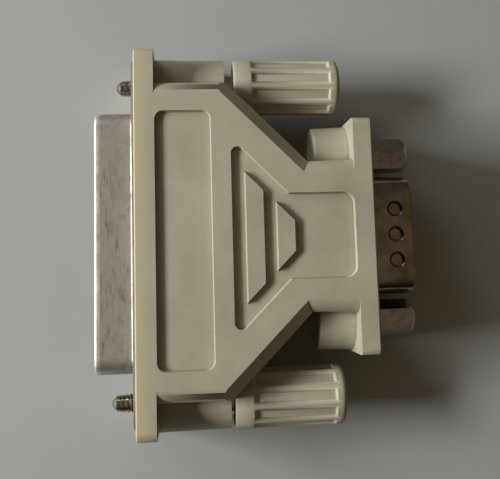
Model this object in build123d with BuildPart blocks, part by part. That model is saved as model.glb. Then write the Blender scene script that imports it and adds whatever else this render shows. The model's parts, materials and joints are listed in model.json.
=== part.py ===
from build123d import *
import math
import os

# Serial adapter: a moulded hood with a 25-way socket connector at one end and
# a 9-way pin connector at the other, two captive thumbscrews and two jack nuts.
# Frame: X runs from the 25-way end to the 9-way end, Z is up, and the origin is
# the middle of the 25-way flange's front face. Sizes are in millimetres.

os.makedirs("parts", exist_ok=True)

# Connector system
sheet = 0.4
shell_lip = 0.36
pitch = 2.77
row_gap = 2.84
end_lean = 10
flange_tall = 12.55
flange_corner = 2.4
rear_flange_tall = 11.5
can_tall = 10.7
seat_clear = 0.05

# 25-way socket connector
contact_count_25 = 25
outline_25_side = 2.57
outline_25_tall = 7.9
outline_25_corner = 2.6
reach_25 = 5.6
screw_room_25 = 4.33
flange_25_end = 3.0
rear_flange_25_short = 0.52
can_25_side = 1.31
can_25_deep = 3.8
socket_inset = 0.3

# 9-way pin connector
contact_count_9 = 9
outline_9_side = 3.32
outline_9_tall = 9.16
outline_9_corner = 3.0
reach_9 = 6.2
screw_room_9 = 3.635
flange_9_end = 2.91
rear_flange_9_short = 0.505
can_9_side = 0.79
can_9_deep = 3.2
floor_9_rise = 0.8
pin_radius = 0.5
pin_reach = 5.2
dimple_radius = 1.2
dimple_floor = 0.8
dimple_depth = 0.42
dimple_pitch = 3.8
dimple_from_flange = 3.45

# Contacts behind the connectors
barrel_radius = 0.85
bore_radius = 0.53
cup_length = 3.0

# Hood
hood_length = 34.6
hood_half_tall = 7.6
end_25_thick = 2.85
end_25_over = 1.38
end_25_corner = 1.6
end_9_thick = 2.75
end_9_over = 1.845
end_9_corner = 0.9
end_edge = 0.2
body_inside_screws = 0.62
body_round = 2.1
shoulder_x = 13.8
neck_inside_screws = 1.495
neck_flare = 0.3
wall = 1.7
cavity_half_tall = 5.5
lip = 0.4
recess_depth = 0.7
recess_draft = 12
recess_1_x = 3.35
recess_1_long = 8.1
recess_1_side = 4.48
recess_1_corner = 1.3
recess_2_x = 14.22
recess_2_end = 32.12
recess_2_side = 4.8
recess_2_rim = 8.0
recess_2_corner = 1.7
recess_2_small = 1.0
bar_rim = 3.3
bar_starts = [16.26, 20.71]
bar_width = 2.5
peg_radius = 0.7
peg_length = 1.5
peg_25_out = 1.9
peg_9_out = 1.1
peg_9_before_nut = 1.7

# Bosses on the hood
screw_boss_root = 4.35
screw_boss_tip = 4.2
screw_boss_end = 13.7
nut_boss_root = 4.6
nut_boss_tip = 4.4
nut_boss_x = 26.9
nut_boss_edge = 0.45
screw_hole_radius = 1.6
chamber_x = 5.4
chamber_radius = 3.2
chamber_end = 10.35

# Thumbscrews
thread_radius = 1.42
tip_cone = 0.6
shank_radius = 2.3
shank_clear = 0.08
shoulder_from_tip = 9.35
clip_from_shoulder = 0.55
clip_thick = 0.6
clip_radius = 3.1
clip_groove_radius = 1.8
clip_clear = 0.05
clip_slot = 1.6
shank_in_knob = 9.0
right_tip_x = -2.6
left_tip_x = -3.45
knob_from_tip = 17.75
knob_length = 16.3
knob_radius = 4.35
knob_collar = 2.6
knob_rim = 1.6
knob_edge = 0.6
flute_count = 10
flute_radius = 1.4
flute_depth = 0.38
knob_turns = [5, 10]
knob_gap = 0.5

# Jack nuts and the nuts trapped in the hood
jack_across = 4.75
jack_length = 6.4
jack_chamfer = 0.35
jack_thread_radius = 1.13
jack_thread_deep = 5.0
stud_radius = 1.42
nut_across = 6.35
nut_thick = 2.4
nut_end_wall = 1.3
nut_clear = 0.05
nut_wall = 0.6
jack_turns = [23.5, 0]

# Wires
wire_radius = 0.55
wire_lead = 2.2
wire_climb = 3.4
wire_levels = {1: 4.3, 2: 2.86, 3: 1.42, 4: 2.86, 5: 1.42, 6: -4.3, 7: -2.86, 8: -1.42, 9: -2.86}
wire_map = {1: 8, 2: 3, 3: 2, 4: 20, 5: 7, 6: 6, 7: 4, 8: 5, 9: 22}

# Widths that follow from the contacts and the room beside them
outline_25_wide = contact_count_25 // 2 * pitch + 2 * outline_25_side
screw_span_25 = outline_25_wide + 2 * screw_room_25
flange_25_long = screw_span_25 + 2 * flange_25_end
rear_flange_25_long = flange_25_long - 2 * rear_flange_25_short
can_25_long = outline_25_wide + 2 * can_25_side
outline_9_wide = contact_count_9 // 2 * pitch + 2 * outline_9_side
screw_span_9 = outline_9_wide + 2 * screw_room_9
flange_9_long = screw_span_9 + 2 * flange_9_end
rear_flange_9_long = flange_9_long - 2 * rear_flange_9_short
can_9_long = outline_9_wide + 2 * can_9_side
end_25_half = flange_25_long / 2 + end_25_over
end_9_half = flange_9_long / 2 + end_9_over
body_half = screw_span_25 / 2 - body_inside_screws
neck_half = screw_span_9 / 2 - neck_inside_screws
recess_1_half = body_half - recess_1_side
recess_2_neck = neck_half - recess_2_side
recess_2_slant = shoulder_x + body_half - recess_2_rim
bar_slant = recess_2_slant - bar_rim

# Places worked out from the sizes above
hood_front = sheet
hood_back = hood_front + hood_length
flange_9_x = hood_back + sheet
end_25_back = hood_front + end_25_thick
end_9_x = hood_back - end_9_thick
neck_x = shoulder_x + body_half - neck_half
rear_25_x = hood_front + lip
can_25_end = rear_25_x + sheet + can_25_deep
rear_9_x = hood_back - lip
can_9_end = rear_9_x - sheet - can_9_deep
cups_25_end = can_25_end + cup_length
cups_9_end = can_9_end - cup_length
screw_y = screw_span_25 / 2
nut_y = screw_span_9 / 2
nut_x = nut_boss_x + nut_end_wall
nut_back = nut_x + nut_thick
half_row = row_gap / 2


def row_places(ways):
    """Y and Z of each contact: the long row is on top, and numbers rise with Y."""
    upper = (ways + 1) // 2
    lower = ways - upper
    places = [((i - (upper - 1) / 2) * pitch, half_row) for i in range(upper)]
    places += [((i - (lower - 1) / 2) * pitch, -half_row) for i in range(lower)]
    return places


def d_outline(width, height, corner, trim=0.0):
    """Connector outline, wide side up, with leaning ends; trim moves it inwards."""
    lean = math.radians(end_lean)
    radius = corner - trim
    half = height / 2 - trim
    top = width / 2 - corner + radius * (1 + math.sin(lean)) / math.cos(lean)
    bottom = top - 2 * half * math.tan(lean)
    with BuildSketch() as outline:
        with BuildLine():
            Polyline((-top, half), (top, half), (bottom, -half), (-bottom, -half), close=True)
        make_face()
        fillet(outline.vertices(), radius)
    return outline.sketch


def across_x(x):
    """Drawing plane across the adapter at x, with Y to the right and Z up."""
    return Plane.YZ.offset(x)


sockets_at = row_places(contact_count_25)
pins_at = row_places(contact_count_9)

# Front shell of the 25-way end: a drawn steel skirt on a flat flange
with BuildPart() as front_shell_25:
    with BuildSketch(across_x(0)):
        RectangleRounded(flange_25_long, flange_tall, flange_corner)
    extrude(amount=sheet)
    with BuildSketch(across_x(0)):
        add(d_outline(outline_25_wide, outline_25_tall, outline_25_corner))
    extrude(amount=-reach_25)
    root = front_shell_25.faces().filter_by(Plane.YZ).sort_by(Axis.X)[1].inner_wires().edges()
    fillet(root, sheet)
    fillet(front_shell_25.faces().sort_by(Axis.X)[0].edges(), shell_lip)
    with BuildSketch(across_x(-reach_25)):
        add(d_outline(outline_25_wide, outline_25_tall, outline_25_corner, sheet))
    extrude(amount=reach_25 + sheet, mode=Mode.SUBTRACT)
    with Locations(across_x(0)):
        with GridLocations(screw_span_25, 1, 2, 1):
            Hole(screw_hole_radius)
front_shell_25.part.label = "front_shell_25"

# Rear shell of the 25-way end: a second flange with a box around the insulator
with BuildPart() as rear_shell_25:
    with BuildSketch(across_x(rear_25_x)):
        RectangleRounded(rear_flange_25_long, rear_flange_tall, flange_corner)
    extrude(amount=sheet)
    with BuildSketch(across_x(rear_25_x + sheet)):
        Rectangle(can_25_long, can_tall)
    extrude(amount=can_25_deep)
    with BuildSketch(across_x(rear_25_x)):
        Rectangle(can_25_long - 2 * sheet, can_tall - 2 * sheet)
    extrude(amount=sheet + can_25_deep, mode=Mode.SUBTRACT)
    with Locations(across_x(rear_25_x)):
        with GridLocations(screw_span_25, 1, 2, 1):
            Hole(screw_hole_radius)
rear_shell_25.part.label = "rear_shell_25"

# Insulator of the 25-way end: tongue, rim between the flanges, and rear block
with BuildPart() as insulator_25:
    with BuildSketch(across_x(hood_front)):
        add(d_outline(outline_25_wide, outline_25_tall, outline_25_corner, sheet + seat_clear))
    extrude(amount=-(reach_25 + sheet - socket_inset))
    with BuildSketch(across_x(hood_front)):
        Rectangle(can_25_long, can_tall)
    extrude(amount=lip)
    with BuildSketch(across_x(rear_25_x)):
        Rectangle(can_25_long - 2 * (sheet + seat_clear), can_tall - 2 * (sheet + seat_clear))
    extrude(amount=sheet + can_25_deep)
    with Locations(across_x(can_25_end)):
        with Locations(*[(y, z) for y, z in sockets_at]):
            Hole(barrel_radius + seat_clear)
insulator_25.part.label = "insulator_25"

# Front shell of the 9-way end: a larger skirt, dimpled to grip its mate
with BuildPart() as front_shell_9:
    with BuildSketch(across_x(hood_back)):
        RectangleRounded(flange_9_long, flange_tall, flange_corner)
    extrude(amount=sheet)
    with BuildSketch(across_x(flange_9_x)):
        add(d_outline(outline_9_wide, outline_9_tall, outline_9_corner))
    extrude(amount=reach_9)
    root = front_shell_9.faces().filter_by(Plane.YZ).sort_by(Axis.X)[1].inner_wires().edges()
    fillet(root, sheet)
    fillet(front_shell_9.faces().sort_by(Axis.X)[-1].edges(), shell_lip)
    with BuildSketch(across_x(hood_back)):
        add(d_outline(outline_9_wide, outline_9_tall, outline_9_corner, sheet))
    extrude(amount=reach_9 + sheet, mode=Mode.SUBTRACT)
    skirt_top = outline_9_tall / 2
    dimple_x = flange_9_x + dimple_from_flange
    dimples = [(dimple_x, i * dimple_pitch, 1) for i in (-1, 0, 1)]
    dimples += [(dimple_x, i * dimple_pitch, -1) for i in (-0.5, 0.5)]
    for x, y, side in dimples:
        with Locations((x, y, side * (skirt_top - sheet))):
            Cylinder(dimple_radius, dimple_depth)
        with BuildSketch(Plane.XY.offset(side * skirt_top)):
            with Locations((x, y)):
                Circle(dimple_radius)
        with BuildSketch(Plane.XY.offset(side * (skirt_top - dimple_depth))):
            with Locations((x, y)):
                Circle(dimple_floor)
        loft(mode=Mode.SUBTRACT)
    with Locations(across_x(flange_9_x)):
        with GridLocations(screw_span_9, 1, 2, 1):
            Hole(screw_hole_radius)
front_shell_9.part.label = "front_shell_9"

# Rear shell of the 9-way end
with BuildPart() as rear_shell_9:
    with BuildSketch(across_x(rear_9_x)):
        RectangleRounded(rear_flange_9_long, rear_flange_tall, flange_corner)
    extrude(amount=-sheet)
    with BuildSketch(across_x(rear_9_x - sheet)):
        Rectangle(can_9_long, can_tall)
    extrude(amount=-can_9_deep)
    with BuildSketch(across_x(rear_9_x)):
        Rectangle(can_9_long - 2 * sheet, can_tall - 2 * sheet)
    extrude(amount=-(sheet + can_9_deep), mode=Mode.SUBTRACT)
    with Locations(across_x(rear_9_x)):
        with GridLocations(screw_span_9, 1, 2, 1):
            Hole(screw_hole_radius)
rear_shell_9.part.label = "rear_shell_9"

# Insulator of the 9-way end: its face lies just above the flange, round the pins
with BuildPart() as insulator_9:
    with BuildSketch(across_x(hood_back)):
        add(d_outline(outline_9_wide, outline_9_tall, outline_9_corner, sheet + seat_clear))
    extrude(amount=sheet + floor_9_rise)
    with BuildSketch(across_x(hood_back)):
        Rectangle(can_9_long, can_tall)
    extrude(amount=-lip)
    with BuildSketch(across_x(rear_9_x)):
        Rectangle(can_9_long - 2 * (sheet + seat_clear), can_tall - 2 * (sheet + seat_clear))
    extrude(amount=-(sheet + can_9_deep))
    with Locations(across_x(flange_9_x + floor_9_rise)):
        with Locations(*[(y, z) for y, z in pins_at]):
            Hole(pin_radius + seat_clear)
    for y, z in pins_at:
        with BuildSketch(across_x(can_9_end)):
            with Locations((y, z)):
                Circle(barrel_radius + seat_clear)
        extrude(amount=can_9_deep, mode=Mode.SUBTRACT)
insulator_9.part.label = "insulator_9"

# Socket contacts of the 25-way end: a bored barrel with a solder cup behind
sockets = []
for number, (y, z) in enumerate(sockets_at, start=1):
    with BuildPart() as socket:
        with BuildSketch(across_x(-reach_25 + 2 * socket_inset)):
            with Locations((y, z)):
                Circle(barrel_radius)
        extrude(amount=reach_25 - 2 * socket_inset + cups_25_end)
        with BuildSketch(across_x(-reach_25 + 2 * socket_inset)):
            with Locations((y, z)):
                Circle(bore_radius)
        extrude(amount=reach_25, mode=Mode.SUBTRACT)
    socket.part.label = f"socket_{number}"
    sockets.append(socket.part)

# Pin contacts of the 9-way end: a round-nosed pin on a thicker barrel
pins = []
for number, (y, z) in enumerate(pins_at, start=1):
    with BuildPart() as pin:
        with BuildSketch(across_x(cups_9_end)):
            with Locations((y, z)):
                Circle(barrel_radius)
        extrude(amount=cup_length + can_9_deep - seat_clear)
        with BuildSketch(across_x(cups_9_end + cup_length)):
            with Locations((y, z)):
                Circle(pin_radius)
        extrude(amount=flange_9_x + pin_reach - can_9_end)
        fillet(pin.faces().sort_by(Axis.X)[-1].edges(), pin_radius * 0.8)
    pin.part.label = f"pin_{number}"
    pins.append(pin.part)

# Wires from each pin to its socket, each on a level where it crosses no other
wires = []
for number in range(1, contact_count_9 + 1):
    pin_y, pin_z = pins_at[number - 1]
    socket_y, socket_z = sockets_at[wire_map[number] - 1]
    level = wire_levels[number]
    leave_x = cups_25_end + wire_lead
    arrive_x = cups_9_end - wire_lead
    route = [(cups_25_end, socket_y, socket_z)]
    if abs(level - socket_z) > wire_radius:
        route.append((leave_x, socket_y, socket_z))
    route.append((leave_x + wire_climb, socket_y, level))
    route.append((arrive_x - wire_climb, pin_y, level))
    if abs(level - pin_z) > wire_radius:
        route.append((arrive_x, pin_y, pin_z))
    route.append((cups_9_end, pin_y, pin_z))
    with BuildPart() as wire:
        with BuildLine() as run:
            Polyline(*route)
        with BuildSketch(Plane(origin=run.line @ 0, z_dir=run.line % 0)):
            Circle(wire_radius)
        sweep(transition=Transition.RIGHT)
    wire.part.label = f"wire_{number}"
    wires.append(wire.part)

# Outer form that both hood covers share, made whole and then halved
slant_unit = math.sqrt(0.5)
with BuildPart() as hood_form:
    with BuildSketch():
        with BuildLine():
            for side in (1, -1):
                Polyline(
                    (hood_front, 0),
                    (hood_front, side * body_half),
                    (shoulder_x, side * body_half),
                    (neck_x, side * neck_half),
                    (hood_back, side * (neck_half + neck_flare)),
                    (hood_back, 0),
                )
        make_face()
    extrude(amount=hood_half_tall, both=True)
    # One rounding runs along the sides, the slants and the neck, above and below
    rims = hood_form.edges().group_by(Axis.Z)[-1] + hood_form.edges().group_by(Axis.Z)[0]
    fillet(rims.filter_by(Axis.Y, reverse=True), body_round)
    # End plates with their corners rounded as seen from the ends
    with BuildSketch(across_x(hood_front)):
        RectangleRounded(2 * end_25_half, 2 * hood_half_tall, end_25_corner)
    extrude(amount=end_25_thick)
    with BuildSketch(across_x(hood_back)):
        RectangleRounded(2 * end_9_half, 2 * hood_half_tall, end_9_corner)
    extrude(amount=-end_9_thick)
    fillet(hood_form.faces().sort_by(Axis.X)[0].edges(), end_edge)
    fillet(hood_form.faces().sort_by(Axis.X)[-1].edges(), end_edge)
    # Bosses for the thumbscrews, tapering towards the knobs, and for the nuts
    for side in (1, -1):
        with Locations((end_25_back, side * screw_y, 0)):
            Cone(
                screw_boss_root,
                screw_boss_tip,
                screw_boss_end - end_25_back,
                rotation=(0, 90, 0),
                align=(Align.CENTER, Align.CENTER, Align.MIN),
            )
        with BuildPart(mode=Mode.PRIVATE) as nut_boss:
            with Locations((nut_boss_x, side * nut_y, 0)):
                Cone(
                    nut_boss_tip,
                    nut_boss_root,
                    end_9_x - nut_boss_x,
                    rotation=(0, 90, 0),
                    align=(Align.CENTER, Align.CENTER, Align.MIN),
                )
            fillet(nut_boss.faces().sort_by(Axis.X)[0].edges(), nut_boss_edge)
        add(nut_boss.part)
    # Room for the knobs beside the slants
    for side in (1, -1):
        with Locations((screw_boss_end, side * screw_y, 0)):
            Cylinder(
                knob_radius + knob_gap,
                neck_x - screw_boss_end,
                rotation=(0, 90, 0),
                align=(Align.CENTER, Align.CENTER, Align.MIN),
                mode=Mode.SUBTRACT,
            )

# Everything inside the hood that is cut away from the two covers
slant_sum = shoulder_x + body_half - wall / slant_unit
knob_side = screw_y - knob_radius - knob_gap - wall
inner_half = screw_y - chamber_radius - wall
inner_neck = nut_y - nut_across / 2 - nut_clear - nut_wall
with BuildPart() as hood_core:
    with BuildSketch():
        with BuildLine():
            for side in (1, -1):
                Polyline(
                    (can_25_end, 0),
                    (can_25_end, side * inner_half),
                    (chamber_end, side * inner_half),
                    (screw_boss_end - wall, side * knob_side),
                    (slant_sum - knob_side, side * knob_side),
                    (slant_sum - inner_neck, side * inner_neck),
                    (can_9_end, side * inner_neck),
                    (can_9_end, 0),
                )
        make_face()
    extrude(amount=cavity_half_tall, both=True)
    # Stepped mouths that hold each connector by its rear flange
    with BuildSketch(across_x(hood_front)):
        Rectangle(can_25_long + 2 * seat_clear, can_tall + 2 * seat_clear)
    extrude(amount=can_25_end - hood_front)
    with BuildSketch(across_x(rear_25_x)):
        RectangleRounded(
            rear_flange_25_long + 2 * seat_clear, rear_flange_tall + 2 * seat_clear, flange_corner
        )
    extrude(amount=sheet)
    with BuildSketch(across_x(hood_back)):
        Rectangle(can_9_long + 2 * seat_clear, can_tall + 2 * seat_clear)
    extrude(amount=can_9_end - hood_back)
    with BuildSketch(across_x(rear_9_x)):
        RectangleRounded(
            rear_flange_9_long + 2 * seat_clear, rear_flange_tall + 2 * seat_clear, flange_corner
        )
    extrude(amount=-sheet)
    for side in (1, -1):
        # Thumbscrew channel: thread hole, clip chamber, then the guide for the shank
        with BuildSketch(across_x(hood_front)):
            with Locations((side * screw_y, 0)):
                Circle(screw_hole_radius)
        extrude(amount=chamber_x - hood_front)
        with BuildSketch(across_x(chamber_x)):
            with Locations((side * screw_y, 0)):
                Circle(chamber_radius)
        extrude(amount=chamber_end - chamber_x)
        with BuildSketch(across_x(chamber_end)):
            with Locations((side * screw_y, 0)):
                Circle(shank_radius + shank_clear)
        extrude(amount=screw_boss_end - chamber_end)
        # Stud hole and the pocket that stops the trapped nut turning
        with BuildSketch(across_x(hood_back)):
            with Locations((side * nut_y, 0)):
                Circle(screw_hole_radius)
        extrude(amount=nut_x - hood_back)
        with BuildSketch(across_x(nut_x - nut_clear)):
            with Locations((side * nut_y, 0)):
                RegularPolygon(nut_across / 2 + nut_clear, 6, major_radius=False)
        extrude(amount=nut_thick + 2 * nut_clear)

# Raised and sunk pattern on the broad face: two recesses, one with two bars
with BuildPart() as face_recess:
    with BuildSketch(Plane.XY.offset(hood_half_tall)):
        with Locations((recess_1_x + recess_1_long / 2, 0)):
            RectangleRounded(recess_1_long, 2 * recess_1_half, recess_1_corner)
    extrude(amount=-recess_depth, taper=recess_draft)
    with BuildSketch(Plane.XY.offset(hood_half_tall)) as arrow:
        with BuildLine():
            Polyline(
                (recess_2_x, recess_2_slant - recess_2_x),
                (recess_2_slant - recess_2_neck, recess_2_neck),
                (recess_2_end, recess_2_neck),
                (recess_2_end, -recess_2_neck),
                (recess_2_slant - recess_2_neck, -recess_2_neck),
                (recess_2_x, recess_2_x - recess_2_slant),
                close=True,
            )
        make_face()
        fillet(arrow.vertices().group_by(Axis.X)[0], recess_2_small)
        fillet(arrow.vertices().group_by(Axis.X)[-1], recess_2_corner)
    extrude(amount=-recess_depth, taper=recess_draft)
with BuildPart() as face_bars:
    for start in bar_starts:
        with BuildSketch(Plane.XY.offset(hood_half_tall)):
            with BuildLine():
                Polyline(
                    (start, bar_slant - start),
                    (start + bar_width, bar_slant - start - bar_width),
                    (start + bar_width, start + bar_width - bar_slant),
                    (start, start - bar_slant),
                    close=True,
                )
            make_face()
        extrude(amount=-recess_depth, taper=-recess_draft)

# Two pegs stand beside the screw bosses, and two in the wall just before the nuts
peg_9_x = nut_x - peg_9_before_nut
peg_9_wall = max(inner_neck, slant_sum - peg_9_x)
pegs_at = [(screw_boss_end - wall, side * (knob_side + peg_25_out)) for side in (1, -1)]
pegs_at += [(peg_9_x, side * (peg_9_wall + peg_9_out)) for side in (1, -1)]

# Upper cover: the half seen in use, with four locating pegs
with BuildPart() as upper_cover:
    add(hood_form.part)
    add(face_recess.part, mode=Mode.SUBTRACT)
    add(face_bars.part)
    add(hood_core.part, mode=Mode.SUBTRACT)
    split(bisect_by=Plane.XY, keep=Keep.TOP)
    with BuildSketch():
        with Locations(*pegs_at):
            Circle(peg_radius)
    extrude(amount=-peg_length)
upper_cover.part.label = "upper_cover"

# Lower cover: the same moulding turned over, with holes for the pegs
with BuildPart() as lower_cover:
    add(hood_form.part)
    add(mirror(face_recess.part, about=Plane.XY), mode=Mode.SUBTRACT)
    add(mirror(face_bars.part, about=Plane.XY))
    add(hood_core.part, mode=Mode.SUBTRACT)
    split(bisect_by=Plane.XY, keep=Keep.BOTTOM)
    with BuildSketch():
        with Locations(*pegs_at):
            Circle(peg_radius + seat_clear)
    extrude(amount=-(peg_length + seat_clear), mode=Mode.SUBTRACT)
lower_cover.part.label = "lower_cover"


def thumbscrew(tip_x, y):
    """Turned screw: cone tip, thread, shoulder, clip groove and long shank."""
    shoulder = tip_x + shoulder_from_tip
    groove = shoulder + clip_from_shoulder - clip_clear
    groove_end = groove + clip_thick + 2 * clip_clear
    shank_end = tip_x + knob_from_tip + shank_in_knob
    with BuildPart() as turned:
        with BuildSketch(Plane.XY):
            with BuildLine():
                Polyline(
                    (tip_x, y),
                    (tip_x, y + thread_radius - tip_cone),
                    (tip_x + tip_cone, y + thread_radius),
                    (shoulder, y + thread_radius),
                    (shoulder, y + shank_radius),
                    (groove, y + shank_radius),
                    (groove, y + clip_groove_radius),
                    (groove_end, y + clip_groove_radius),
                    (groove_end, y + shank_radius),
                    (shank_end, y + shank_radius),
                    (shank_end, y),
                    close=True,
                )
            make_face()
        revolve(axis=Axis((0, y, 0), (1, 0, 0)))
    return turned.part


def retaining_clip(tip_x, y):
    """Split ring in the screw's groove, open on one side so that it presses on."""
    front = tip_x + shoulder_from_tip + clip_from_shoulder
    with BuildPart() as ring:
        with BuildSketch(across_x(front)):
            with Locations((y, 0)):
                Circle(clip_radius)
                Circle(clip_groove_radius + clip_clear, mode=Mode.SUBTRACT)
            with Locations((y, -clip_radius)):
                Rectangle(clip_slot, 2 * clip_radius, mode=Mode.SUBTRACT)
        extrude(amount=clip_thick)
    return ring.part


def thumb_knob(tip_x, y, first_turn):
    """Moulded knob: plain collar, shallow flutes, rounded rim and a bore for the shank."""
    start = tip_x + knob_from_tip
    end = start + knob_length
    with BuildPart() as moulded:
        with Locations((start, y, 0)):
            Cylinder(
                knob_radius,
                knob_length,
                rotation=(0, 90, 0),
                align=(Align.CENTER, Align.CENTER, Align.MIN),
            )
        fillet(moulded.edges().filter_by(GeomType.CIRCLE), knob_edge)
        for i in range(flute_count):
            turn = first_turn + 360 * i / flute_count
            out = knob_radius + flute_radius - flute_depth
            with BuildSketch(across_x(start + knob_collar)):
                with Locations((y, 0)):
                    with PolarLocations(out, 1, turn):
                        Circle(flute_radius)
            extrude(amount=knob_length - knob_collar - knob_rim, mode=Mode.SUBTRACT)
        with BuildSketch(across_x(start)):
            with Locations((y, 0)):
                Circle(shank_radius)
        extrude(amount=shank_in_knob, mode=Mode.SUBTRACT)
    return moulded.part


right_screw = thumbscrew(right_tip_x, screw_y)
left_screw = thumbscrew(left_tip_x, -screw_y)
right_clip = retaining_clip(right_tip_x, screw_y)
left_clip = retaining_clip(left_tip_x, -screw_y)
right_knob = thumb_knob(right_tip_x, screw_y, knob_turns[0])
left_knob = thumb_knob(left_tip_x, -screw_y, knob_turns[1])
right_screw.label = "right_screw"
left_screw.label = "left_screw"
right_clip.label = "right_clip"
left_clip.label = "left_clip"
right_knob.label = "right_knob"
left_knob.label = "left_knob"

# Jack nuts: hexagon pillars with a threaded bore in front and a stud behind
with BuildPart() as jack_nuts:
    for side, turn in zip((1, -1), jack_turns):
        with BuildSketch(across_x(flange_9_x)):
            with Locations((side * nut_y, 0)):
                RegularPolygon(jack_across / 2, 6, major_radius=False, rotation=turn)
        extrude(amount=jack_length)
    tips = jack_nuts.faces().filter_by(Plane.YZ).group_by(Axis.X)[-1]
    chamfer(tips.edges(), jack_chamfer)
    for side in (1, -1):
        with BuildSketch(across_x(flange_9_x)):
            with Locations((side * nut_y, 0)):
                Circle(stud_radius)
        extrude(amount=nut_x - flange_9_x)
        with BuildSketch(across_x(flange_9_x + jack_length)):
            with Locations((side * nut_y, 0)):
                Circle(jack_thread_radius)
        extrude(amount=-jack_thread_deep, mode=Mode.SUBTRACT)
jack_nuts.part.label = "jack_nuts"

# Hexagon nuts trapped in the hood, which take the jack nuts' studs
with BuildPart() as trapped_nuts:
    for side in (1, -1):
        with BuildSketch(across_x(nut_x)):
            with Locations((side * nut_y, 0)):
                RegularPolygon(nut_across / 2, 6, major_radius=False)
                Circle(stud_radius, mode=Mode.SUBTRACT)
        extrude(amount=nut_thick)
trapped_nuts.part.label = "trapped_nuts"

pieces = [
    upper_cover.part,
    lower_cover.part,
    front_shell_25.part,
    rear_shell_25.part,
    insulator_25.part,
    front_shell_9.part,
    rear_shell_9.part,
    insulator_9.part,
    jack_nuts.part,
    trapped_nuts.part,
    right_screw,
    left_screw,
    right_clip,
    left_clip,
    right_knob,
    left_knob,
]
pieces += sockets
pieces += pins
pieces += wires
for piece in pieces:
    export_step(piece, f"parts/{piece.label}.step")
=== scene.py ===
import json
import math

import bmesh
import bpy
from mathutils import Matrix, Vector

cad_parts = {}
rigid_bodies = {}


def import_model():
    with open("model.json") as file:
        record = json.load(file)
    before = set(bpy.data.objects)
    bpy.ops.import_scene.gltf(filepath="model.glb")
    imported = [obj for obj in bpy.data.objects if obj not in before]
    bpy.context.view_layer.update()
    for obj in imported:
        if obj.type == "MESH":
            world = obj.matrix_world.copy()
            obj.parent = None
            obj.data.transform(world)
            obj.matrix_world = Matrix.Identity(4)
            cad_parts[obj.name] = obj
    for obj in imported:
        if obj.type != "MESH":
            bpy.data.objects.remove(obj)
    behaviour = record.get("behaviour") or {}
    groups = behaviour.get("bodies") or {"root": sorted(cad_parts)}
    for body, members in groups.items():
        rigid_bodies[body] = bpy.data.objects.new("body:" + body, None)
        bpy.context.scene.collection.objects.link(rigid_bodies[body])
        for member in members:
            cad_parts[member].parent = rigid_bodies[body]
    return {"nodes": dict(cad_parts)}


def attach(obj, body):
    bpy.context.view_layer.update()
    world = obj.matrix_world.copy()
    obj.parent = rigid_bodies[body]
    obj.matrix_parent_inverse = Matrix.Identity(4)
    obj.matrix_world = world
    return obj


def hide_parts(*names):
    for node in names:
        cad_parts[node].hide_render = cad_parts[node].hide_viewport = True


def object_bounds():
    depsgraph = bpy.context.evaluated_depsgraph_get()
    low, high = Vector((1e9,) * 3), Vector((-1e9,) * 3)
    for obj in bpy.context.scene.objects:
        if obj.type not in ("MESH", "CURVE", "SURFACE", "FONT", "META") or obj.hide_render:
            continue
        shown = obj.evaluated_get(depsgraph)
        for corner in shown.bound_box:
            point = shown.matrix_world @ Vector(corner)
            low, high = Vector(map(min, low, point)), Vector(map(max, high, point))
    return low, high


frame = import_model()
cad_box = [list(corner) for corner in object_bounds()]
nodes = frame["nodes"]
MM = 0.001

# Hood: two moulded ABS halves, once cream and now greyed and yellowed. They are
# pressed together on pegs. The mould gives them a fine eroded grain and a broad
# flat chamfer down each slant.
SAME_POINT = 2e-6
NEAR_POINT = 5e-6
FLAT_ANGLE = math.radians(0.6)
SHARP_ANGLE = math.radians(35)
SMOOTH_ANGLE = math.radians(30)


def only(piece):
    """Selects one object and nothing else, so that operators act on it alone."""
    bpy.ops.object.select_all(action="DESELECT")
    piece.select_set(True)
    bpy.context.view_layer.objects.active = piece


def bake_modifiers(piece):
    """Applies the piece's modifiers in order."""
    only(piece)
    for modifier in list(piece.modifiers):
        bpy.ops.object.modifier_apply(modifier=modifier.name)


def combine(piece, other, operation):
    """Joins, cuts or keeps the common part of two closed pieces."""
    tool = piece.modifiers.new(operation.lower(), "BOOLEAN")
    tool.operation = operation
    tool.solver = "EXACT"
    tool.object = other
    bake_modifiers(piece)
    bpy.data.objects.remove(other)


def plain_copy(node_name, name):
    """Copies a CAD node and joins its triangles into faces."""
    only(nodes[node_name])
    bpy.ops.object.duplicate()
    piece = bpy.context.object
    bpy.ops.object.parent_clear(type="CLEAR_KEEP_TRANSFORM")
    piece.name = name
    piece.data.name = name
    piece.data.materials.clear()
    bpy.ops.object.mode_set(mode="EDIT")
    bpy.ops.mesh.select_all(action="SELECT")
    bpy.ops.mesh.remove_doubles(threshold=SAME_POINT)
    bpy.ops.mesh.dissolve_limited(angle_limit=FLAT_ANGLE)
    bpy.ops.object.mode_set(mode="OBJECT")
    return piece


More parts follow.
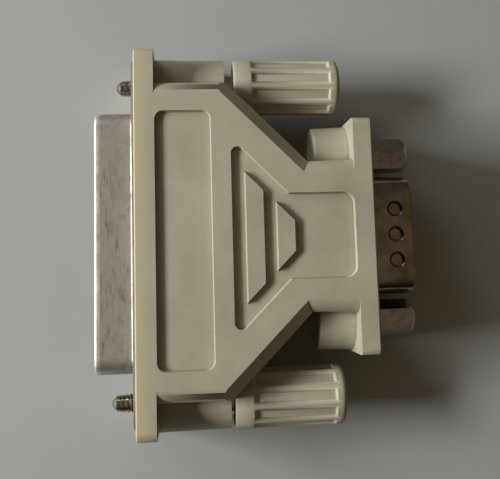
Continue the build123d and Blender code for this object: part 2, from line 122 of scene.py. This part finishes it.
def soften(piece, width):
    """Bevels a piece's sharp edges and keeps its flats flat under the light. The
    shortest edges limit the bevel to a few micrometres. Edges in the parting
    plane, where the two halves meet, get none."""
    only(piece)
    bpy.ops.object.mode_set(mode="EDIT")
    bpy.ops.mesh.select_all(action="SELECT")
    bpy.ops.mesh.remove_doubles(threshold=NEAR_POINT)
    bpy.ops.mesh.dissolve_limited(angle_limit=FLAT_ANGLE)
    bpy.ops.mesh.select_mode(type="EDGE")
    bpy.ops.mesh.select_all(action="DESELECT")
    cage = bmesh.from_edit_mesh(piece.data)
    for edge in cage.edges:
        parting = all(abs(corner.co.z) < 0.01 * MM for corner in edge.verts)
        edge.select_set(edge.calc_face_angle(0) > SHARP_ANGLE and not parting)
    bmesh.update_edit_mesh(piece.data)
    bpy.ops.mesh.bevel(offset=width, segments=3, affect="EDGES", clamp_overlap=True)
    bpy.ops.mesh.select_mode(type="VERT")
    bpy.ops.object.mode_set(mode="OBJECT")
    bpy.ops.object.shade_smooth_by_angle(angle=SMOOTH_ANGLE)
    flats = piece.modifiers.new("flats stay flat", "WEIGHTED_NORMAL")
    flats.keep_sharp = True
    bake_modifiers(piece)


def linear(code):
    """Turns an sRGB hex colour into linear values with alpha."""
    parts = [int(code[i : i + 2], 16) / 255 for i in (1, 3, 5)]
    return [c / 12.92 if c <= 0.04045 else ((c + 0.055) / 1.055) ** 2.4 for c in parts] + [1]


def node(tree, kind, settings=None, **links):
    """Adds a shader node; settings set its properties, links feed its sockets."""
    made = tree.nodes.new("ShaderNode" + kind)
    for key, value in (settings or {}).items():
        setattr(made, key, value)
    for key, value in links.items():
        socket = made.inputs[int(key[1:])] if key[1:].isdigit() else made.inputs[key.replace("_", " ")]
        if isinstance(value, bpy.types.NodeSocket):
            tree.links.new(value, socket)
        else:
            socket.default_value = value
    return made


def surface(name, **values):
    """Starts a material and returns it with its tree and its shader."""
    material = bpy.data.materials.new(name)
    material.use_nodes = True
    tree = material.node_tree
    shader = tree.nodes["Principled BSDF"]
    for key, value in values.items():
        shader.inputs[key.replace("_", " ")].default_value = value
    return material, tree, shader


def dress(piece, material):
    """Gives a piece its material on every face."""
    piece.data.materials.clear()
    piece.data.materials.append(material)


# Aged ABS, moulded against a spark-eroded tool: satin, with a grain of about
# 0.25 mm, painted shade in the corners and creases, and a yellow band where the
# flange was exposed, lightened further by a painted highlight along the flange's outer edge
abs_aged, tree, shader = surface("aged ABS, spark-eroded finish", IOR=1.53)
place = node(tree, "TexCoord").outputs["Object"]
axes = node(tree, "SeparateXYZ", Vector=place)
patches = node(tree, "TexNoise", Vector=place, Scale=1 / (9 * MM), Detail=5, Roughness=0.6)
specks = node(tree, "TexNoise", Vector=place, Scale=1 / (0.9 * MM), Detail=3, Roughness=0.55)
base = node(
    tree, "MixRGB", Fac=node(tree, "MapRange", Value=patches.outputs["Fac"], _1=0.35, _2=0.7).outputs[0],
    Color1=linear("#b3af9a"), Color2=linear("#a29e87"),
)
# Yellowing and painted highlight: the flange's outer edge, which faces the lamp, is painted a lighter cream
# that fades out by X = 3 mm
band = node(tree, "MapRange", Value=axes.outputs["X"], _1=3.0 * MM, _2=0.4 * MM)
band_broken = node(
    tree, "Math", {"operation": "MULTIPLY"}, _0=band.outputs[0],
    _1=node(tree, "MapRange", Value=patches.outputs["Fac"], _1=0.25, _2=0.6, _3=0.35, _4=0.95).outputs[0],
)
yellowed_and_highlit = node(tree, "MixRGB", Fac=band_broken.outputs[0], Color1=base.outputs[0], Color2=linear("#c6b98f"))
# Painted shade: ambient occlusion darkens corners, creases and recesses towards brown, broken up a little by
# fine noise
creases = node(tree, "AmbientOcclusion", {"samples": 8}, Distance=1.1 * MM)
painted_crease_shade = node(
    tree, "Math", {"operation": "MULTIPLY"},
    _0=node(tree, "MapRange", Value=creases.outputs["AO"], _1=0.75, _2=0.35, _3=0.0, _4=0.5).outputs[0],
    _1=node(tree, "MapRange", Value=specks.outputs["Fac"], _1=0.3, _2=0.6, _3=0.6, _4=1.0).outputs[0],
)
with_crease_shade = node(tree, "MixRGB", Fac=painted_crease_shade.outputs[0], Color1=yellowed_and_highlit.outputs[0], Color2=linear("#5f4e33"))
tree.links.new(with_crease_shade.outputs[0], shader.inputs["Base Color"])
grain = node(tree, "TexNoise", Vector=place, Scale=1 / (0.25 * MM), Detail=2, Roughness=0.5)
gloss = node(tree, "MapRange", Value=patches.outputs["Fac"], _1=0.3, _2=0.7, _3=0.46, _4=0.6)
tree.links.new(gloss.outputs[0], shader.inputs["Roughness"])
relief = node(tree, "Bump", Strength=0.35, Distance=0.02 * MM, Height=grain.outputs["Fac"])
tree.links.new(relief.outputs[0], shader.inputs["Normal"])

SLANT_SUM = 36.7
HOOD_TOP = 7.6
CHAMFER = 1.92
NECK_CORNER = (25.7, 11.0)
NECK_MITRE = (0.894, -0.447)
CUTTER = (30, 6, 4)
CUTTER_SHIFT = 2
COVER_BEVEL = 0.32


def slant_cutter(hand, face):
    """Block whose inner face is the broad chamfer along one slanted side."""
    out = Vector((1, hand, 0)).normalized()
    along = Vector((1, -hand, 0)).normalized()
    normal = (out + Vector((0, 0, face))).normalized()
    middle = out * (SLANT_SUM / math.sqrt(2) - CHAMFER / 2)
    middle += Vector((0, 0, face * (HOOD_TOP - CHAMFER / 2)))
    middle += along * CUTTER_SHIFT + normal * CUTTER[2] / 2
    turn = Matrix((along, normal.cross(along), normal)).transposed().to_euler()
    bpy.ops.object.select_all(action="DESELECT")
    bpy.ops.mesh.primitive_cube_add(
        size=1, location=middle * MM, rotation=turn, scale=[side * MM for side in CUTTER]
    )
    block = bpy.context.object
    bpy.ops.object.transform_apply(location=True, rotation=True, scale=True)
    bpy.ops.object.mode_set(mode="EDIT")
    bpy.ops.mesh.select_all(action="SELECT")
    bpy.ops.mesh.bisect(
        plane_co=(NECK_CORNER[0] * MM, hand * NECK_CORNER[1] * MM, 0),
        plane_no=(NECK_MITRE[0], hand * NECK_MITRE[1], 0), use_fill=True, clear_outer=True,
    )
    bpy.ops.object.mode_set(mode="OBJECT")
    return block


for half, face in (("upper_cover", 1), ("lower_cover", -1)):
    cover = plain_copy(half, half + "_moulding")
    for hand in (1, -1):
        combine(cover, slant_cutter(hand, face), "DIFFERENCE")
    soften(cover, COVER_BEVEL * MM)
    dress(cover, abs_aged)
    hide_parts(half)
    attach(cover, "housing")

# Wide connector: a front skirt and a rear box, drawn from sheet steel and
# tinned. The tin has dulled in blotches and is scuffed by other plugs. The
# skirt's front lip carries a painted highlight.
tin, tree, shader = surface("dulled tin plate on drawn steel", Metallic=1.0)
place = node(tree, "TexCoord").outputs["Object"]
clouds = node(tree, "TexNoise", Vector=place, Scale=1 / (4 * MM), Detail=6, Roughness=0.68)
bare = node(
    tree, "MixRGB", Fac=node(tree, "MapRange", Value=clouds.outputs["Fac"], _1=0.38, _2=0.62).outputs[0],
    Color1=linear("#d2cec4"), Color2=linear("#a9a294"),
)
along = node(tree, "Mapping", Vector=place, Scale=(6, 1, 1))
rubs = node(tree, "TexNoise", Vector=along.outputs[0], Scale=1 / (2.5 * MM), Detail=7, Roughness=0.7)
stains = node(tree, "MapRange", Value=rubs.outputs["Fac"], _1=0.52, _2=0.72, _3=0.0, _4=0.75)
tone = node(tree, "MixRGB", Fac=stains.outputs[0], Color1=bare.outputs[0], Color2=linear("#6f665a"))
reach = node(tree, "SeparateXYZ", Vector=place).outputs["X"]
# Painted highlight: the skirt's front lip is painted near white from X = -4.7 mm forward, fully so by -5.1
# mm, where the lamp's glint falls on its rounding
lip = node(tree, "MapRange", Value=reach, _1=-4.7 * MM, _2=-5.1 * MM)
lip_highlight = node(tree, "MixRGB", Fac=lip.outputs[0], Color1=tone.outputs[0], Color2=linear("#f2eee6"))
tree.links.new(lip_highlight.outputs[0], shader.inputs["Base Color"])
polish = node(tree, "MapRange", Value=clouds.outputs["Fac"], _1=0.35, _2=0.65, _3=0.42, _4=0.62)
tree.links.new(polish.outputs[0], shader.inputs["Roughness"])
waves = node(tree, "TexNoise", Vector=place, Scale=1 / (1.6 * MM), Detail=3, Roughness=0.5)
dents = node(tree, "Bump", Strength=0.25, Distance=0.03 * MM, Height=waves.outputs["Fac"])
tree.links.new(dents.outputs[0], shader.inputs["Normal"])
for name in ("front_shell_25", "rear_shell_25"):
    dress(nodes[name], tin)

# Insulators: black glass-filled polyester blocks that hold the contacts. The
# moulding is slightly rough, with pale dust in the corners of its face.
polyester, tree, shader = surface("black glass-filled polyester", IOR=1.57)
place = node(tree, "TexCoord").outputs["Object"]
fibres = node(tree, "TexNoise", Vector=place, Scale=1 / (0.4 * MM), Detail=4, Roughness=0.6)
tone = node(tree, "MixRGB", Fac=fibres.outputs["Fac"], Color1=linear("#1b1b1d"), Color2=linear("#2b2a2a"))
crooks = node(tree, "AmbientOcclusion", {"samples": 6}, Distance=0.6 * MM)
dust = node(tree, "MapRange", Value=crooks.outputs["AO"], _1=0.8, _2=0.4, _3=0.0, _4=0.35)
dusty = node(tree, "MixRGB", Fac=dust.outputs[0], Color1=tone.outputs[0], Color2=linear("#6b6353"))
tree.links.new(dusty.outputs[0], shader.inputs["Base Color"])
sheen = node(tree, "MapRange", Value=fibres.outputs["Fac"], _1=0.3, _2=0.7, _3=0.38, _4=0.55)
tree.links.new(sheen.outputs[0], shader.inputs["Roughness"])
for name in ("insulator_25", "insulator_9"):
    dress(nodes[name], polyester)

# Contacts: turned brass, 25 bored sockets and nine pins, with a thin gold
# flash that has worn a little redder and duller along the pins.
gold, tree, shader = surface("gold flash on turned brass", Metallic=1.0)
place = node(tree, "TexCoord").outputs["Object"]
wear = node(tree, "TexNoise", Vector=place, Scale=1 / (0.8 * MM), Detail=4, Roughness=0.6)
tone = node(tree, "MixRGB", Fac=wear.outputs["Fac"], Color1=linear("#e3c37a"), Color2=linear("#b8935a"))
tree.links.new(tone.outputs[0], shader.inputs["Base Color"])
polish = node(tree, "MapRange", Value=wear.outputs["Fac"], _1=0.3, _2=0.7, _3=0.18, _4=0.34)
tree.links.new(polish.outputs[0], shader.inputs["Roughness"])
for name, contact in nodes.items():
    if name.startswith(("socket_", "pin_")):
        dress(contact, gold)

# Narrow connector: drawn the same way but nickel plated, and dimpled so that
# it grips the skirt of its mate. Handling has left a faint film on it. The nuts
# trapped in the hood have the same plating.
SKIRT_BEVEL = 0.19
nickel, tree, shader = surface("nickel plate on drawn steel", Metallic=1.0)
place = node(tree, "TexCoord").outputs["Object"]
clouds = node(tree, "TexNoise", Vector=place, Scale=1 / (3 * MM), Detail=5, Roughness=0.6)
tone = node(
    tree, "MixRGB", Fac=node(tree, "MapRange", Value=clouds.outputs["Fac"], _1=0.35, _2=0.65).outputs[0],
    Color1=linear("#b0a595"), Color2=linear("#8a7b69"),
)
tree.links.new(tone.outputs[0], shader.inputs["Base Color"])
polish = node(tree, "MapRange", Value=clouds.outputs["Fac"], _1=0.35, _2=0.65, _3=0.12, _4=0.24)
tree.links.new(polish.outputs[0], shader.inputs["Roughness"])
for name in ("rear_shell_9", "trapped_nuts"):
    dress(nodes[name], nickel)
skirt = plain_copy("front_shell_9", "dimpled_skirt")
soften(skirt, SKIRT_BEVEL * MM)
dress(skirt, nickel)
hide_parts("front_shell_9")
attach(skirt, "housing")

# Jack nuts: two hexagon pillars turned from bar, with a tapped bore for the
# mate's thumbscrew and a threaded stud that holds the narrow connector.
SCREW_PITCH = 0.635
CREST = 1.42
ROOT = 1.1
JACK_START = 35.4
JACK_END = 41.8
JACK_ACROSS = 4.75
JACK_BORE_END = 36.8
STUD_END = 28.2
JACK_BORE = 1.13
JACK_TURN = {"right": 23.5, "left": 0}
NUT_Y = 12.495
THREAD_STEPS = 28


def trace(name, points):
    """Starts a piece as a chain of edges through points (x, radius), in millimetres."""
    bpy.ops.object.select_all(action="DESELECT")
    bpy.ops.mesh.primitive_plane_add(size=0.02 * MM)
    piece = bpy.context.object
    piece.name = name
    piece.data.name = name
    bpy.ops.object.mode_set(mode="EDIT")
    bpy.ops.mesh.merge(type="CENTER")
    bpy.ops.transform.translate(value=(points[0][0] * MM, 0, points[0][1] * MM))
    for (x0, r0), (x1, r1) in zip(points, points[1:]):
        move = ((x1 - x0) * MM, 0, (r1 - r0) * MM)
        bpy.ops.mesh.extrude_region_move(TRANSFORM_OT_translate={"value": move})
    bpy.ops.object.mode_set(mode="OBJECT")
    return piece


def turned(name, points, steps, advance=0.0, turns=1):
    """Spins an outline about the X axis; advance gives a screw thread's pitch."""
    piece = trace(name, points)
    lathe = piece.modifiers.new("lathe", "SCREW")
    lathe.axis = "X"
    lathe.steps = steps
    lathe.render_steps = steps
    lathe.screw_offset = advance * MM
    lathe.iterations = turns
    lathe.use_merge_vertices = not advance
    lathe.merge_threshold = 1e-7
    bake_modifiers(piece)
    bpy.ops.object.mode_set(mode="EDIT")
    bpy.ops.mesh.select_all(action="SELECT")
    bpy.ops.mesh.remove_doubles(threshold=SAME_POINT)
    bpy.ops.mesh.normals_make_consistent(inside=False)
    bpy.ops.object.mode_set(mode="OBJECT")
    return piece


def thread(name, start, end, root, crest):
    """A threaded rod along X between two places, its helix cut square at both."""
    tooth = [(0, root), (0.4, crest), (0.6, crest), (1, root)]
    outline = [(start + (x - 1) * SCREW_PITCH, r) for x, r in tooth]
    turns = math.ceil((end - start) / SCREW_PITCH) + 2
    rod = turned(name, outline, THREAD_STEPS, advance=SCREW_PITCH, turns=turns)
    bpy.ops.object.mode_set(mode="EDIT")
    for x, side in ((start, -1), (end, 1)):
        bpy.ops.mesh.select_all(action="SELECT")
        bpy.ops.mesh.bisect(
            plane_co=(x * MM, 0, 0), plane_no=(side, 0, 0), use_fill=True, clear_outer=True, threshold=1e-7
        )
    bpy.ops.mesh.select_all(action="SELECT")
    bpy.ops.mesh.normals_make_consistent(inside=False)
    bpy.ops.object.mode_set(mode="OBJECT")
    return rod


def settle(piece, y, angle=30):
    """Moves a piece from the X axis to its own axis and smooths it by angle."""
    only(piece)
    piece.location = (0, y * MM, 0)
    bpy.ops.object.transform_apply(location=True, rotation=True, scale=True)
    bpy.ops.object.shade_smooth_by_angle(angle=math.radians(angle))


def jack_nut(name, y, turn):
    """One jack nut: a hexagon bar faced in the lathe, tapped, with its stud."""
    long = JACK_END - JACK_START
    bpy.ops.object.select_all(action="DESELECT")
    bpy.ops.mesh.primitive_cylinder_add(
        vertices=6, radius=JACK_ACROSS / math.sqrt(3) * MM, depth=long * MM,
        location=((JACK_START + long / 2) * MM, 0, 0), rotation=(0, math.radians(90), 0),
    )
    nut = bpy.context.object
    nut.name = name
    nut.data.name = name
    bpy.ops.object.transform_apply(location=True, rotation=True, scale=True)
    nut.rotation_euler = (math.radians(turn), 0, 0)
    bpy.ops.object.transform_apply(location=True, rotation=True, scale=True)
    blank = turned(name + "_facing", [
        (JACK_START, 0), (JACK_START, 2.45), (JACK_START + 0.2, 2.8), (JACK_END - 0.78, 2.8),
        (JACK_END - 0.05, 2.3), (JACK_END, 2.2), (JACK_END, CREST), (JACK_END - 0.3, 1.15),
        (JACK_END - 0.3, 0),
    ], 72)
    combine(nut, blank, "INTERSECT")
    combine(nut, thread(name + "_tap", JACK_BORE_END, JACK_END + 0.5, JACK_BORE, CREST), "DIFFERENCE")
    rod = thread(name + "_stud", STUD_END, JACK_START + 0.3, ROOT, CREST)
    only(nut)
    rod.select_set(True)
    bpy.ops.object.join()
    settle(nut, y)
    return nut


bar_steel, tree, shader = surface("nickel plate on turned bar steel", Metallic=1.0)
place = node(tree, "TexCoord").outputs["Object"]
tarnish = node(tree, "TexNoise", Vector=place, Scale=1 / (1.2 * MM), Detail=5, Roughness=0.65)
tone = node(
    tree, "MixRGB", Fac=node(tree, "MapRange", Value=tarnish.outputs["Fac"], _1=0.4, _2=0.65).outputs[0],
    Color1=linear("#bdb9b2"), Color2=linear("#a39687"),
)
tree.links.new(tone.outputs[0], shader.inputs["Base Color"])
polish = node(tree, "MapRange", Value=tarnish.outputs["Fac"], _1=0.35, _2=0.7, _3=0.14, _4=0.24)
tree.links.new(polish.outputs[0], shader.inputs["Roughness"])

right_nut = jack_nut("jack_nut_pair", NUT_Y, JACK_TURN["right"])
left_nut = jack_nut("left_jack_nut", -NUT_Y, JACK_TURN["left"])
only(right_nut)
left_nut.select_set(True)
bpy.ops.object.join()
dress(right_nut, bar_steel)
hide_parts("jack_nuts")
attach(right_nut, "housing")

# Thumbscrews: turned steel, nickel plated, one along each side of the hood. Each
# has a 4-40 thread with a blunt cone point, a shoulder, a groove for its clip and
# a shank.
SCREW_Y = 23.52
TIP = {"right": -2.6, "left": -3.45}
SHOULDER = 9.35
GROOVE = (9.85, 10.55)
GROOVE_RADIUS = 1.8
SHANK_END = 26.75
SHANK_RADIUS = 2.3
for hand, side in (("right", 1), ("left", -1)):
    tip = TIP[hand]
    name = hand + "_thumbscrew_steel"
    screw = thread(name, tip, tip + SHOULDER - 0.9, ROOT, CREST)
    point = turned(name + "_point", [
        (tip, 0), (tip, 0.42), (tip + 0.12, 0.58), (tip + 0.65, 1.12), (tip + 2.2, 1.3),
        (tip + 3, 1.5), (tip + SHOULDER, 1.5), (tip + SHOULDER, 0),
    ], 48)
    combine(screw, point, "INTERSECT")
    shank = turned(name + "_shank", [
        (tip + SHOULDER - 1.2, 0), (tip + SHOULDER - 1.2, ROOT), (tip + SHOULDER - 0.1, ROOT),
        (tip + SHOULDER, ROOT + 0.15), (tip + SHOULDER, SHANK_RADIUS - 0.15),
        (tip + SHOULDER + 0.15, SHANK_RADIUS), (tip + GROOVE[0], SHANK_RADIUS),
        (tip + GROOVE[0], GROOVE_RADIUS), (tip + GROOVE[1], GROOVE_RADIUS),
        (tip + GROOVE[1], SHANK_RADIUS), (tip + SHANK_END, SHANK_RADIUS), (tip + SHANK_END, 0),
    ], 64)
    combine(screw, shank, "UNION")
    settle(screw, side * SCREW_Y)
    dress(screw, bar_steel)
    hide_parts(hand + "_screw")
    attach(screw, hand + "_thumbscrew")

# Retaining clips: split rings stamped from spring steel and pressed into the
# screws' grooves. They are oil-blackened and sit inside the hood.
spring, tree, shader = surface("oil-blackened spring steel", Metallic=1.0)
place = node(tree, "TexCoord").outputs["Object"]
scale_marks = node(tree, "TexNoise", Vector=place, Scale=1 / (0.7 * MM), Detail=4, Roughness=0.6)
tone = node(
    tree, "MixRGB", Fac=scale_marks.outputs["Fac"], Color1=linear("#57534e"), Color2=linear("#2e2b29")
)
tree.links.new(tone.outputs[0], shader.inputs["Base Color"])
polish = node(tree, "MapRange", Value=scale_marks.outputs["Fac"], _1=0.3, _2=0.7, _3=0.3, _4=0.5)
tree.links.new(polish.outputs[0], shader.inputs["Roughness"])
for name in ("right_clip", "left_clip"):
    dress(nodes[name], spring)

# Knobs: moulded in the hood's own ABS and pressed on the shanks. Each has a
# plain collar, ten shallow flutes that run out at both ends, and a rounded rim.
KNOB_START = 17.75
KNOB_LONG = 16.3
KNOB_RADIUS = 4.35
KNOB_SOCKET = 9.0
KNOB_RIM = 0.75
FLUTES = 10
FLUTE_STEPS = 16
FLUTE_DEPTHS = (0.46, 0.455, 0.44, 0.41, 0.35, 0.26, 0.14, 0.04)
FIRST_FLUTE = {"right": 9, "left": 10}
for hand, side in (("right", 1), ("left", -1)):
    start = TIP[hand] + KNOB_START
    end = start + KNOB_LONG
    rim = [
        (end - KNOB_RIM + KNOB_RIM * math.sin(a), KNOB_RADIUS - KNOB_RIM + KNOB_RIM * math.cos(a))
        for a in (math.radians(18 * i) for i in range(6))
    ]
    knob = turned(hand + "_knob_moulding", [
        (start + KNOB_SOCKET, 0), (start + KNOB_SOCKET, SHANK_RADIUS), (start, SHANK_RADIUS),
        (start, KNOB_RADIUS - 0.4), (start + 0.12, KNOB_RADIUS - 0.12), (start + 0.4, KNOB_RADIUS),
        (start + 2.5, KNOB_RADIUS), (start + 2.65, KNOB_RADIUS), (start + 3.1, KNOB_RADIUS),
        (end - 1.75, KNOB_RADIUS), (end - 1.45, KNOB_RADIUS),
    ] + rim + [(end, 0)], FLUTES * FLUTE_STEPS)
    # The flutes are pressed in line by line, by drawing each line towards the axis
    step = 2 * math.pi / (FLUTES * FLUTE_STEPS)
    for line, depth in enumerate(FLUTE_DEPTHS):
        bpy.ops.object.mode_set(mode="EDIT")
        bpy.ops.mesh.select_all(action="DESELECT")
        bpy.ops.object.mode_set(mode="OBJECT")
        for vertex in knob.data.vertices:
            count = round(math.atan2(vertex.co.z, vertex.co.y) / step) % FLUTE_STEPS
            outside = math.hypot(vertex.co.y, vertex.co.z) > (KNOB_RADIUS - 0.01) * MM
            between = start + 2.9 < vertex.co.x / MM < end - 1.6
            vertex.select = outside and between and min(count, FLUTE_STEPS - count) == line
        bpy.ops.object.mode_set(mode="EDIT")
        draw = 1 - depth / KNOB_RADIUS
        bpy.ops.transform.resize(value=(1, draw, draw), center_override=(0, 0, 0))
        bpy.ops.object.mode_set(mode="OBJECT")
    knob.rotation_euler = (math.radians(FIRST_FLUTE[hand]), 0, 0)
    settle(knob, side * SCREW_Y, angle=38)
    dress(knob, abs_aged)
    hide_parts(hand + "_knob")
    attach(knob, hand + "_thumbscrew")

# Wires: nine stranded leads in PVC, one from each pin to its socket. They
# stay inside the hood, where only their colours tell them apart.
JACKETS = (
    "#2a2a2a", "#6b4326", "#a8322a", "#c9702c", "#cdb23a", "#3f7a3c", "#2f5596", "#6f4c8c", "#8b8b8b",
)
DULLED = 0.75
for number, code in enumerate(JACKETS, start=1):
    jacket, tree, shader = surface("PVC insulation " + str(number), IOR=1.53)
    place = node(tree, "TexCoord").outputs["Object"]
    skin = node(tree, "TexNoise", Vector=place, Scale=1 / (0.5 * MM), Detail=3, Roughness=0.5)
    dull = [c * DULLED for c in linear(code)[:3]] + [1]
    tone = node(tree, "MixRGB", Fac=skin.outputs["Fac"], Color1=linear(code), Color2=dull)
    tree.links.new(tone.outputs[0], shader.inputs["Base Color"])
    sheen = node(tree, "MapRange", Value=skin.outputs["Fac"], _1=0.3, _2=0.7, _3=0.35, _4=0.5)
    tree.links.new(sheen.outputs[0], shader.inputs["Roughness"])
    dress(nodes["wire_" + str(number)], jacket)

# Bench: plain pale painted floor in a dim warm room. A low window lights it from
# the left, and a weaker one from the back left.
bpy.ops.object.select_all(action="DESELECT")
bpy.ops.mesh.primitive_plane_add(size=3.0, location=(0, 0, cad_box[0][2]))
bench = bpy.context.object
bench.name = "bench"
bench_paint, tree, shader = surface("pale bench paint", Roughness=0.8, Base_Color=linear("#a6a8a6"))
dress(bench, bench_paint)


def softbox(name, place, aim, size, power):
    """Adds a rectangular lamp that faces a point."""
    lamp = bpy.data.lights.new(name, "AREA")
    lamp.shape = "RECTANGLE"
    lamp.size, lamp.size_y = size
    lamp.energy = power
    holder = bpy.data.objects.new(name, lamp)
    bpy.context.scene.collection.objects.link(holder)
    holder.location = place
    holder.rotation_euler = (Vector(aim) - Vector(place)).to_track_quat("-Z", "Y").to_euler()


softbox("window", (-0.45, 0.03, 0.225), (0.015, 0, 0), (0.24, 0.1), 3.55)
softbox("side window", (-0.27, 0.35, 0.22), (0.015, 0, 0), (0.25, 0.12), 0.45)

world = bpy.data.worlds.new("room")
bpy.context.scene.world = world
world.use_nodes = True
tree = world.node_tree
look = node(tree, "TexCoord").outputs["Generated"]
side = node(tree, "VectorMath", {"operation": "DOT_PRODUCT"}, _0=look, _1=(-0.5, 0.86, 0))
across = node(tree, "MapRange", Value=side.outputs["Value"], _1=-0.5, _2=0.8)
walls = node(tree, "MixRGB", Fac=across.outputs[0], Color1=linear("#2e2720"), Color2=linear("#a89f93"))
rise = node(tree, "MapRange", Value=node(tree, "SeparateXYZ", Vector=look).outputs["Z"], _1=0.2, _2=0.9)
air = node(tree, "MixRGB", Fac=rise.outputs[0], Color1=walls.outputs[0], Color2=linear("#d6bf9f"))
tree.links.new(air.outputs[0], tree.nodes["Background"].inputs["Color"])
tree.nodes["Background"].inputs["Strength"].default_value = 0.2

# Camera: the photograph's own place, from a fit to the connector sizes
PHOTO_WIDTH = 500
PHOTO_HEIGHT = 479
FOCAL_PX = 720.0
CENTRE_PX = (259.631, 186.028)
CAMERA_PLACE = (7.974, -4.972, 109.710)
CAMERA_TURN = (0.1209, -0.0970, -0.0289)
lens = bpy.data.cameras.new("photo camera")
lens.sensor_width = 36.0
lens.sensor_fit = "HORIZONTAL"
lens.lens = FOCAL_PX * lens.sensor_width / PHOTO_WIDTH
lens.shift_x = (PHOTO_WIDTH / 2 - CENTRE_PX[0]) / PHOTO_WIDTH
lens.shift_y = (CENTRE_PX[1] - PHOTO_HEIGHT / 2) / PHOTO_WIDTH
lens.clip_start = 0.005
lens.clip_end = 20
camera = bpy.data.objects.new("photo camera", lens)
bpy.context.scene.collection.objects.link(camera)
about_x, about_y, about_z = (Matrix.Rotation(angle, 4, axis) for angle, axis in zip(CAMERA_TURN, "XYZ"))
place = Matrix.Translation([value * MM for value in CAMERA_PLACE])
camera.matrix_world = place @ (about_z @ about_y @ about_x)
bpy.context.scene.camera = camera
bpy.context.scene.view_settings.view_transform = "Standard"
